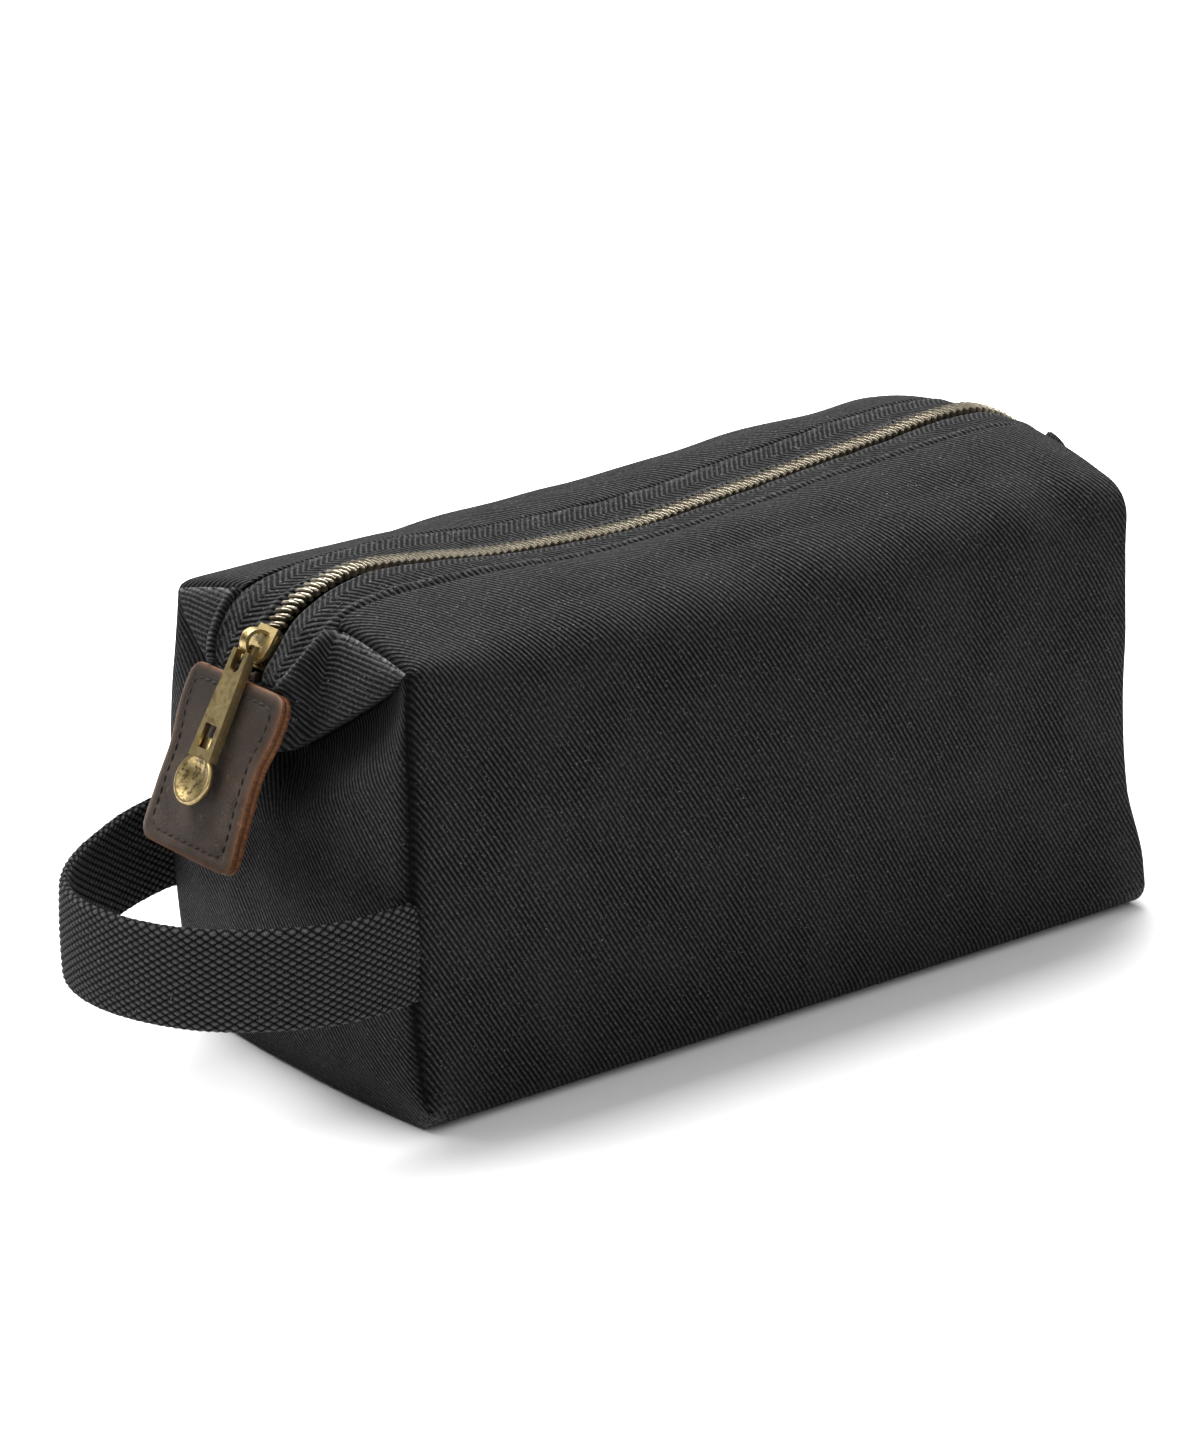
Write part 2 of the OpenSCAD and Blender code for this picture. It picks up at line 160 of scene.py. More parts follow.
class Paint:
    def __init__(self, name):
        self.mat = bpy.data.materials.new(name)
        self.mat.use_nodes = True
        self.t = self.mat.node_tree
        self.p = self.t.nodes["Principled BSDF"]

    def add(self, kind, **settings):
        n = self.t.nodes.new(kind)
        for k, v in settings.items():
            setattr(n, k, v)
        return n

    def link(self, out, into):
        self.t.links.new(out, into)

    def attr(self, name):
        n = self.add("ShaderNodeAttribute")
        n.attribute_name = name
        return n

    def math(self, op, a, b=None, clamp=False):
        n = self.add("ShaderNodeMath", operation=op, use_clamp=clamp)
        for i, v in enumerate((a, b)):
            if v is None:
                continue
            if isinstance(v, (int, float)):
                n.inputs[i].default_value = v
            else:
                self.link(v, n.inputs[i])
        return n.outputs[0]

    def dot(self, vec, d):
        n = self.add("ShaderNodeVectorMath", operation="DOT_PRODUCT")
        self.link(vec, n.inputs[0])
        n.inputs[1].default_value = d
        return n.outputs["Value"]

    def noise(self, vec, scale, detail=2.0, rough=0.5):
        n = self.add("ShaderNodeTexNoise")
        self.link(vec, n.inputs["Vector"])
        n.inputs["Scale"].default_value = scale
        n.inputs["Detail"].default_value = detail
        n.inputs["Roughness"].default_value = rough
        return n.outputs[0]

    def ramp(self, fac, stops):
        n = self.add("ShaderNodeValToRGB")
        self.link(fac, n.inputs[0])
        e = n.color_ramp.elements
        while len(e) < len(stops):
            e.new(0.5)
        for k, (pos, col) in enumerate(stops):
            e[k].position = pos
            c = (col, col, col) if isinstance(col, (int, float)) else col
            e[k].color = (*c, 1)
        return n.outputs[0]

    def mix(self, fac, a, b, blend="MIX"):
        n = self.add("ShaderNodeMix", data_type="RGBA", blend_type=blend)
        for sock, v in ((n.inputs[0], fac), (n.inputs[6], a), (n.inputs[7], b)):
            if isinstance(v, (int, float)):
                sock.default_value = v
            elif isinstance(v, tuple):
                sock.default_value = (*v, 1)
            else:
                self.link(v, sock)
        return n.outputs[2]

    def bump(self, height, distance, strength=1.0):
        n = self.add("ShaderNodeBump")
        n.inputs["Strength"].default_value = strength
        n.inputs["Distance"].default_value = distance * MM
        self.link(height, n.inputs["Height"])
        self.link(n.outputs[0], self.p.inputs["Normal"])

    def finish(self, color=None, rough=None, **constants):
        if color is not None:
            self.link(color, self.p.inputs["Base Color"])
        if rough is not None:
            self.link(rough, self.p.inputs["Roughness"])
        for k, v in constants.items():
            self.p.inputs[k.replace("_", " ")].default_value = v
        return self.mat


def cloth(name, dark, light, pitch, lines, cross, lint=0.5, depth=0.3, sheen=0.03):
    """Woven cloth. lines is the unit vector across the diagonal, in cloth coordinates.

    Positive wear frays and pales the cloth; negative values paint shade, near black, as in a seam.
    """
    p = Paint(name)
    fab = p.attr("fab").outputs["Vector"]
    wear_and_shade = p.attr("wear_and_shade").outputs["Fac"]
    slow = p.noise(fab, 0.05, 3)
    wob = p.math("MULTIPLY", p.noise(fab, 0.35, 1), 1.1)
    s = p.math("ADD", p.dot(fab, (lines[0] * TURN / pitch, lines[1] * TURN / pitch, 0)), wob)
    line = p.math("SINE", s)
    c = p.dot(fab, (cross[0] * TURN / pitch, cross[1] * TURN / pitch, 0))
    yarn = p.math("SINE", p.math("ADD", p.math("MULTIPLY", c, 0.62), p.math("MULTIPLY", wob, 3.0)))
    fuzz = p.noise(fab, 0.95, 3, 0.6)
    h = p.math("ADD", p.math("MULTIPLY", line, 0.5), p.math("MULTIPLY", yarn, 0.07))
    h = p.math("ADD", h, p.math("MULTIPLY", fuzz, 0.6))
    tone = p.math("ADD", p.math("MULTIPLY", line, 0.62), p.math("MULTIPLY", yarn, 0.05))
    tone = p.math("ADD", p.math("ADD", tone, -0.95), p.math("MULTIPLY", fuzz, 2.1), clamp=True)
    col = p.mix(tone, dark, light)
    col = p.mix(p.ramp(slow, [(0.4, 0.0), (0.7, 0.10)]), col, light)
    speck = p.ramp(p.noise(fab, 1.35, 2, 0.6), [(0.675 - 0.02 * lint, 0.0), (0.71, 0.9 * lint)])
    col = p.mix(speck, col, tuple(min(1, 6 * v) for v in light))
    fray = p.ramp(p.noise(fab, 0.8, 4, 0.7), [(0.42, 0.0), (0.62, 1.0)])
    col = p.mix(p.math("MULTIPLY", wear_and_shade, fray, clamp=True), col, (0.20, 0.20, 0.20))
    # painted shade: negative values darken the cloth to near black, in seam grooves, under the fold
    # and by the zip
    col = p.mix(p.math("MULTIPLY", wear_and_shade, -1.0, clamp=True), col, (0.0003, 0.0003, 0.0003))
    p.bump(h, depth)
    return p.finish(col, Roughness=0.92, Sheen_Weight=sheen, Sheen_Roughness=0.5,
                    Specular_IOR_Level=0.08)


def basket(name, dark, light, size, depth):
    """Coarse plain weave, for webbing. size is the repeat along and across it."""
    p = Paint(name)
    fab = p.attr("fab").outputs["Vector"]
    fuzz = p.noise(fab, 2.2, 3, 0.7)
    a = p.math("SINE", p.dot(fab, (HALF_TURN / size[0], HALF_TURN / size[1], 0)))
    b = p.math("SINE", p.dot(fab, (HALF_TURN / size[0], -HALF_TURN / size[1], 0)))
    weave = p.math("POWER", p.math("ABSOLUTE", p.math("MULTIPLY", a, b)), 0.6)
    fine = p.math("SINE", p.dot(fab, (TURN / 0.42, TURN / 1.1, 0)))
    # raised crossings light and gaps near black: partly the yarn's own tone, partly painted
    # highlight and painted shade
    tone = p.math("ADD", p.math("MULTIPLY", weave, 0.9), p.math("MULTIPLY", fine, 0.12))
    tone = p.math("ADD", tone, p.math("SUBTRACT", p.math("MULTIPLY", fuzz, 1.1), 0.86), clamp=True)
    col = p.mix(tone, dark, light)
    speck = p.ramp(p.noise(fab, 1.2, 2, 0.6), [(0.69, 0.0), (0.76, 0.4)])
    col = p.mix(speck, col, tuple(5 * v for v in light))
    h = p.math("ADD", p.math("MULTIPLY", weave, 0.8), p.math("MULTIPLY", fine, 0.12))
    p.bump(p.math("ADD", h, p.math("MULTIPLY", fuzz, 0.5)), depth)
    return p.finish(col, Roughness=0.93, Sheen_Weight=0.02, Sheen_Roughness=0.6,
                    Specular_IOR_Level=0.08)


def metal(name, low, mid, high, rough=(0.28, 0.5), patina=0.5, scale=900):
    p = Paint(name)
    pos = p.add("ShaderNodeTexCoord").outputs["Object"]
    n1 = p.noise(pos, scale * 0.25, 4, 0.6)
    n2 = p.noise(pos, scale, 3, 0.65)
    geo = p.add("ShaderNodeNewGeometry")
    edge = p.ramp(geo.outputs["Pointiness"], [(0.5, 0.0), (0.56, 1.0)])
    col = p.mix(p.ramp(n1, [(0.38, 0.0), (0.62, 1.0)]), mid, high)
    dirt = p.ramp(n2, [(0.36, patina), (0.52, 0.0)])
    col = p.mix(dirt, col, low)
    col = p.mix(p.math("MULTIPLY", edge, 0.6), col, high)
    rg = p.ramp(n2, [(0.3, rough[1]), (0.7, rough[0])])
    p.bump(n2, 0.05, 0.5)
    return p.finish(col, rg, Metallic=1.0)


def hide(name, dark, mid, light, scuff=0.5):
    p = Paint(name)
    fab = p.attr("fab").outputs["Vector"]
    wear_and_shade = p.attr("wear_and_shade").outputs["Fac"]
    blot = p.noise(fab, 0.09, 3, 0.55)
    grain = p.noise(fab, 1.6, 4, 0.7)
    pores = p.noise(fab, 4.5, 2, 0.6)
    col = p.mix(p.ramp(blot, [(0.35, 0.0), (0.65, 1.0)]), dark, mid)
    col = p.mix(p.ramp(grain, [(0.5, 0.0), (0.75, 0.5)]), col, light)
    col = p.mix(p.ramp(grain, [(0.3, 0.4), (0.42, 0.0)]), col, dark)
    mark = p.ramp(p.noise(fab, 0.33, 5, 0.75), [(0.61, 0.0), (0.70, scuff)])
    col = p.mix(mark, col, (0.22, 0.10, 0.04))
    # darker towards the tab's top: partly the leather's own deeper brown, partly painted shade
    col = p.mix(p.ramp(p.dot(fab, (0.02, 0.004, 0.0)), [(0.05, 0.75), (0.62, 0.0)]), col,
                tuple(0.62 * v for v in dark))
    col = p.mix(p.math("MULTIPLY", wear_and_shade, 0.85, clamp=True), col, (0.16, 0.07, 0.03))
    h = p.math("ADD", p.math("MULTIPLY", grain, 0.6), p.math("MULTIPLY", pores, 0.4))
    p.bump(h, 0.18)
    return p.finish(col, p.ramp(grain, [(0.3, 0.62), (0.7, 0.48)]), Specular_IOR_Level=0.22)


def raw_edge(name):
    p = Paint(name)
    fab = p.attr("fab").outputs["Vector"]
    n = p.noise(fab, 1.1, 5, 0.75)
    lay = p.math("SINE", p.dot(fab, (0.0, 0.0, TURN / 0.8)))
    col = p.mix(p.ramp(n, [(0.35, 0.0), (0.65, 1.0)]), (0.06, 0.022, 0.009), (0.22, 0.085, 0.03))
    col = p.mix(p.math("MULTIPLY", p.math("ADD", lay, 1.0), 0.18), col, (0.07, 0.025, 0.01))
    p.bump(n, 0.5)
    return p.finish(col, Roughness=0.75, Specular_IOR_Level=0.3)


def simple_thread(name, dark, light):
    p = Paint(name)
    fab = p.attr("fab").outputs["Vector"]
    tw = p.math("SINE", p.dot(fab, (TURN / 0.5, TURN / 0.5, TURN / 0.5)))
    col = p.mix(p.math("MULTIPLY", p.math("ADD", tw, 1.0), 0.5), dark, light)
    p.bump(tw, 0.08)
    return p.finish(col, Roughness=0.6, Specular_IOR_Level=0.4)


TWILL_DARK, TWILL_LIGHT, TWILL_PITCH = (0.0006, 0.0006, 0.0007), (0.055, 0.055, 0.057), 1.36
COS, SIN = 0.84, 0.54           # the twill's diagonal on the long walls
WEB_SX, WEB_SY = 3.4, 2.1       # the webbing's repeat along and across it
twill_front = cloth("twill_front", TWILL_DARK, TWILL_LIGHT, TWILL_PITCH,
                    (COS, SIN), (SIN, -COS), depth=0.45)
twill_back = cloth("twill_back", TWILL_DARK, TWILL_LIGHT, TWILL_PITCH,
                   (COS, -SIN), (SIN, COS), depth=0.45)
twill_end = cloth("twill_end", TWILL_DARK, TWILL_LIGHT, TWILL_PITCH,
                  (0.754, -0.657), (0.657, 0.754), depth=0.45)
lining_mat = cloth("lining_cloth", (0.010, 0.010, 0.011), (0.04, 0.04, 0.042), 0.7,
                   (1.0, 0.0), (0.0, 1.0), lint=0.2, depth=0.1)
tape_mat = cloth("tape_weave", (0.0008, 0.0008, 0.0009), (0.045, 0.045, 0.046), 1.5,
                 (0.80, -0.60), (0.60, 0.80), lint=0.5, depth=0.4)
web_mat = basket("webbing_weave", (0.0008, 0.0008, 0.0009), (0.15, 0.15, 0.155),
                 (WEB_SX, WEB_SY), 0.9)
brass = metal("antique_brass", (0.012, 0.008, 0.004), (0.17, 0.116, 0.044),
              (0.56, 0.435, 0.21), patina=0.8, scale=700)
tooth_brass = metal("tooth_brass", (0.012, 0.010, 0.007), (0.11, 0.095, 0.07), (0.34, 0.305, 0.24),
                    rough=(0.32, 0.5), patina=0.6, scale=1500)
steel = metal("bright_steel", (0.10, 0.10, 0.10), (0.60, 0.59, 0.56), (0.85, 0.84, 0.80),
              rough=(0.2, 0.35), patina=0.2)
leather = hide("oiled_leather", (0.019, 0.0125, 0.0085), (0.042, 0.029, 0.021),
               (0.095, 0.070, 0.053))
leather_back = hide("leather_flesh_side", (0.06, 0.030, 0.014), (0.14, 0.075, 0.035),
                    (0.22, 0.13, 0.07))
edge_mat = raw_edge("leather_raw_edge")
thread_mat = simple_thread("waxed_thread", (0.008, 0.005, 0.004), (0.038, 0.025, 0.017))


# ---------------------------------------------------------------- zip guide

# centre of the chain (x, z), then the tape's edge at the front and at the back (x, y, z)
GUIDE = [
    ((-148.6, 117.0), (-149.6, -14.6, 118.2), (-151.0, 15.5, 118.0)),
    ((-147.2, 121.0), (-147.6, -16.6, 122.0), (-149.4, 17.5, 122.6)),
    ((-143.5, 125.1), (-144.6, -18.0, 125.8), (-146.2, 18.8, 128.3)),
    ((-139.2, 129.9), (-140.3, -19.0, 130.4), (-142.2, 19.6, 133.2)),
    ((-134.0, 134.3), (-134.6, -19.3, 134.9), (-136.6, 19.8, 136.4)),
    ((-125.7, 138.0), (-126.0, -19.3, 137.6), (-127.0, 19.8, 138.5)),
    ((-112.0, 140.6), (-112.0, -19.3, 138.8), (-112.0, 19.8, 139.4)),
    ((-90.0, 138.5), (-90.0, -19.3, 138.7), (-90.0, 19.8, 139.9)),
    ((-71.0, 135.8), (-71.0, -19.3, 137.4), (-71.0, 19.8, 138.6)),
    ((-51.0, 134.4), (-51.0, -19.3, 136.0), (-51.0, 19.8, 136.7)),
    ((-20.0, 133.2), (-20.0, -19.3, 136.7), (-20.0, 19.8, 136.3)),
    ((7.0, 135.4), (7.0, -19.3, 138.5), (7.0, 19.8, 136.9)),
    ((30.0, 137.4), (30.0, -19.3, 140.4), (30.0, 19.8, 139.3)),
    ((53.0, 139.7), (53.0, -19.3, 142.3), (53.0, 19.8, 141.3)),
    ((76.0, 142.0), (76.0, -19.3, 143.8), (76.0, 19.8, 143.4)),
    ((95.0, 144.2), (95.0, -19.2, 144.4), (95.0, 19.7, 144.3)),
    ((110.0, 144.3), (110.0, -19.1, 143.7), (110.0, 19.6, 143.6)),
    ((120.0, 141.2), (120.0, -19.0, 141.0), (120.0, 19.5, 141.4)),
    ((127.0, 137.0), (127.0, -18.6, 137.4), (127.0, 19.0, 138.0)),
    ((133.0, 131.0), (133.0, -17.6, 132.0), (133.0, 18.0, 132.6)),
    ((137.0, 124.0), (137.0, -16.0, 125.0), (137.0, 16.5, 125.4)),
    ((138.6, 118.0), (138.8, -14.5, 118.0), (138.8, 15.0, 118.3)),
]
knot = np.arange(len(GUIDE))
CHAIN = np.array([[g[0][0], 0, g[0][1]] for g in GUIDE])
EDGE = {-1: np.array([g[1] for g in GUIDE]), 1: np.array([g[2] for g in GUIDE])}
fine = np.linspace(0, len(GUIDE) - 1, 2200)
chain_fine = through(knot, CHAIN, fine)
chain_run = run_of(chain_fine)


def chain_at(run):
    """Point, direction and outward normal of the chain at a run along it."""
    s = np.interp(run, chain_run, fine)
    c = through(knot, CHAIN, s)
    ahead = through(knot, CHAIN, np.minimum(s + 0.02, knot[-1]))
    d = ahead - through(knot, CHAIN, np.maximum(s - 0.02, 0))
    d /= np.linalg.norm(d, axis=-1, keepdims=True)
    n = np.stack([-d[..., 2], 0 * d[..., 0], d[..., 0]], -1)
    return s, c, d, n


def mouth(x):
    """Share of the full opening along the zip: none at its ends, all in the middle."""
    return ease(-137, -72, x) * (1 - ease(38, 108, x))


def set_blend(o):
    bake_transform(o)


# ---------------------------------------------------------------- shell

# x of the two ends by height, height of each shoulder along the bag (0 to 1), its radius
NEAR = ([0, 2, 18, 38, 80, 131, 140], [-132.2, -132.4, -134.5, -136.3, -136.8, -135.3, -134.9])
FAR = ([0, 11, 37, 64, 90, 112, 131, 146],
       [131.0, 134.0, 127.0, 124.0, 123.8, 124.4, 125.8, 124.6])
CORNER = {
    -1: ([0, 0.16, 0.29, 0.43, 0.575, 0.84, 0.94, 1],
         [132.0, 131.8, 131.6, 131.6, 133.0, 133.6, 132.0, 130.5]),
    1: ([0, 0.11, 0.24, 0.31, 0.37, 0.44, 0.575, 0.7, 0.84, 0.94, 1],
        [128.5, 128.3, 129.2, 131.4, 132.7, 134.2, 134.6, 134.8, 135.6, 136.0, 133.2]),
}
ROUND = ([0, 0.06, 0.15, 0.5, 0.85, 0.95, 1], [3.5, 8, 13, 20, 15, 13, 11])
BASE_ROUND = 6.5                # radius of the base's edges
# points across a wall, from the middle of the base to the zip
FLOOR_PTS, EDGE_PTS, WALL_PTS, SHOULDER_PTS, TOP_PTS = 8, 8, 34, 14, 18
COLS = np.unique(np.concatenate([np.linspace(0, 0.06, 14), np.linspace(0.06, 0.94, 112),
                                 np.linspace(0.94, 1, 14)]))


def half_width(t, z, side):
    """Half the bag's width at a share t of its length and a height z."""
    full = 57.4 + (0.9 if side > 0 else 0.2)
    top = 54.6 + 1.0 * math.sin(math.pi * t)
    w = full - (full - top) * ease(84, 133, z)
    return w + 1.8 * math.sin(math.pi * t) * np.sin(math.pi * np.clip(z / 128, 0, 1)) \
        + (2.0 * t + 0.1) * (1 - ease(0, 22, z))


SEAM_FROM, SEAM_TO = 4.0, 17.5  # knots of the zip guide where the long walls' seam ends


def shell_grid(side):
    """Points, normals, cloth coordinates, wear and painted shade, run to the zip of one long wall.
    """
    edge = EDGE[side]
    dense = through(knot, edge, fine)
    x_from, x_to = (through(knot, edge, k)[0] for k in (SEAM_FROM, SEAM_TO))
    sel = (fine > 3.5) & (fine < 18)
    rows = []
    for t in COLS:
        zk = float(through(*CORNER[side], t))
        r = float(np.interp(t, *ROUND))
        ex = x_from + (x_to - x_from) * t
        s = np.interp(ex, dense[sel, 0], fine[sel])
        e3 = through(knot, edge, s)
        e = np.array([abs(e3[1]) + 0.2, e3[2] + (0.7 if side < 0 else 0.1)])
        w0 = float(half_width(t, BASE_ROUND, side))
        yz = [[w0 * k, 0] for k in np.linspace(0, 1 - BASE_ROUND / w0, FLOOR_PTS + 1)[:-1]]
        for u in np.linspace(0, math.pi / 2, EDGE_PTS + 1)[:-1]:
            yz.append([w0 - BASE_ROUND + BASE_ROUND * math.sin(u),
                       BASE_ROUND * (1 - math.cos(u))])
        zs = np.linspace(BASE_ROUND, zk - r, WALL_PTS)
        yz += [[float(half_width(t, z, side)), z] for z in zs]
        a = np.array(yz[-1])
        k = np.array([float(half_width(t, zk, side)), zk])
        b = k + (e - k) / np.linalg.norm(e - k) * r
        for u in np.linspace(0, 1, SHOULDER_PTS + 1)[1:]:
            yz.append(list(a * (1 - u) ** 2 + k * 2 * u * (1 - u) + b * u * u))
        crown = 1.6 * (0.4 + 0.6 * math.sin(math.pi * t))
        for u in np.linspace(0, 1, TOP_PTS + 1)[1:]:
            q = b + (e - b) * u
            yz.append([q[0], q[1] + crown * math.sin(math.pi * u)])
        yz += [[e[0] - 0.75, e[1] - 0.5], [e[0] - 0.9, e[1] - 1.3]]
        yz = np.array(yz)
        z = yz[:, 1]
        x_near, x_far = through(*NEAR, np.clip(z, 0, 139)), through(*FAR, np.clip(z, 0, 145))
        x = x_near * (1 - t) + x_far * t
        over = np.clip((k[0] - yz[:, 0]) / max(k[0] - e[0], 1), 0, 1) * (z > zk - r)
        x = x * (1 - over) + ex * over
        rows.append(np.stack([x, side * yz[:, 0], z], -1))
    p = np.array(rows)
    n = grid_normals(p)
    if side > 0:
        n = -n
    # folds and puckers, none where the edges are sewn
    length = np.stack([p[:, :, 0] - p[:1, :, 0], p[-1:, :, 0] - p[:, :, 0]]).min(0)
    free = 1 - np.exp(-length / 14)
    steps = np.linalg.norm(np.diff(p, axis=1), axis=-1)
    v = np.concatenate([np.zeros((len(p), 1)), np.cumsum(steps, axis=1)], 1)
    to_zip = v[:, -1:] - v
    free = free * (1 - 0.8 * np.exp(-to_zip / 9)) * ease(1, 16, p[:, :, 2])
    d = 0.9 * lumps(p, 75, 1 + side) + 0.4 * lumps(p, 30, 5 + side)
    corner = np.exp(-((p[:, :, 0] - 108) / 26) ** 2 - ((p[:, :, 2] - 124) / 20) ** 2)
    d = d + corner * 1.3 * np.sin((p[:, :, 0] * 0.5 + p[:, :, 2] * 0.9) / 4.6)
    near_c = np.exp(-((p[:, :, 0] + 112) / 22) ** 2 - ((p[:, :, 2] - 134) / 12) ** 2)
    d = d - near_c * 1.1
    seam = (0.85 * np.exp(-length / 1.1) + 0.3 * np.exp(-length / 5)) * ease(2, 12, p[:, :, 2])
    ripple = 0.5 * np.exp(-length / 9) * np.sin(v / 5.1 + 1.7 * np.sin(v / 13))
    ripple = ripple * ease(14, 30, p[:, :, 2]) * (1 - np.exp(-length / 3))
    p = p + n * (d * free - 1.9 * seam + ripple)[..., None]
    wear_and_shade = 0.12 * np.exp(-length / 1.6) + 0.25 * np.exp(-to_zip / 1.8) * (to_zip > 0.2)
    base_corner = np.exp(-length / 7) * np.exp(-p[:, :, 2] / 9)
    wear_and_shade = np.clip(wear_and_shade + 0.8 * base_corner, 0, 1)
    # painted shade: a dark line in the seam's groove, and a painted shadow along the edge at the
    # zip tape
    wear_and_shade = wear_and_shade - 1.3 * np.exp(-length / 1.5) * ease(3, 10, p[:, :, 2])
    wear_and_shade = wear_and_shade - 0.5 * np.exp(-to_zip / 0.8)
    fab = np.stack([p[:, :, 0], v, 0 * v + side * 400], -1)
    return p, n, fab, wear_and_shade, to_zip


shell = {}
for side, word, top_node, mat in ((-1, "front", "top_panel_front", twill_front),
                                  (1, "back", "top_panel_back", twill_back)):
    p, n, fab, wear_and_shade, to_zip = shell_grid(side)
    shell[side] = p
    thick = 1.4 + 0.6 * np.exp(-to_zip / 6)
    inner = p - n * thick[..., None]
    o = skin("shell_" + word, p, inner, [mat], fab, wear_and_shade, flip=side > 0)
    set_blend(o)
    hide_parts(top_node)
    if side < 0:
        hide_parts("body_panel")
    # lining, a little inside the shell
    cols = slice(3, -3)
    keep = slice(0, -6)
    q = p[cols, keep] - n[cols, keep] * 2.1
    q2 = q - n[cols, keep] * 0.7
    lin = skin("lining_" + word, q, q2, [lining_mat], fab[cols, keep], flip=side > 0)
    set_blend(lin)
    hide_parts("top_lining_" + word)
    if side < 0:
        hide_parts("lining")


# ---------------------------------------------------------------- end panels

LOW_PTS, FACE_PTS = 34, 18      # points up the lower wall, and up the facet above its fold
# across the end, from its middle (0) to its side seam (1): the beak under the zip, the
# tape's edge, then the seam with the top panel
TAPE_AT, TOP_SEAM_AT = 0.28, 0.366
HALF_END = 52.8
FOLD_Y = [0, 8, 19.8, 33.2, 44.1, HALF_END]
SEAM_SKIP = 8                   # points of the shell's edge that lie in the base


